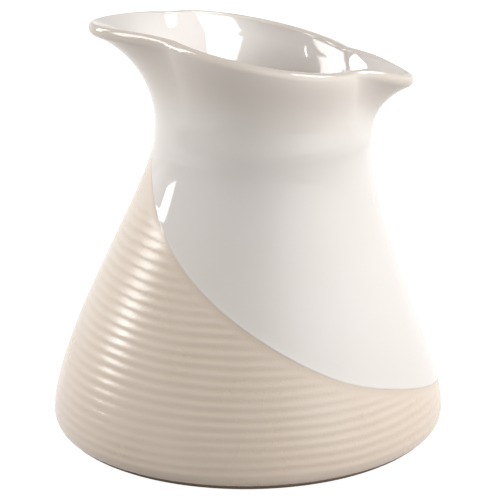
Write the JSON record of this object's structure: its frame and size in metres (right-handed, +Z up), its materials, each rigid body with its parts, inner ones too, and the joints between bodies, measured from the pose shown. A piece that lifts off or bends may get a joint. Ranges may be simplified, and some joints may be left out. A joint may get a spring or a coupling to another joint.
{
  "type": "creamer",
  "caption": "Handleless stoneware creamer: leaning round body, drawn-out pouring spout, short rear lip, ribbed sand glaze below a slanted white dip glaze.",
  "frame": {"origin": "on the table under the centre of the round foot", "axes": "+Z up; the pouring spout points along -X and the short lip along +X"},
  "size_m": [0.0996, 0.0996, 0.1058],
  "materials": {
    "bare_stoneware": "matt bare fired clay",
    "sand_glaze": "semi-gloss sand glaze",
    "white_glaze": "gloss white glaze",
    "white_lining": "gloss white glaze"
  },
  "bodies": {
    "root": {"stoneware_body": "bare_stoneware", "sand_glaze": "sand_glaze", "white_glaze": "white_glaze", "lining_glaze": "white_lining"}
  },
  "joints": []
}
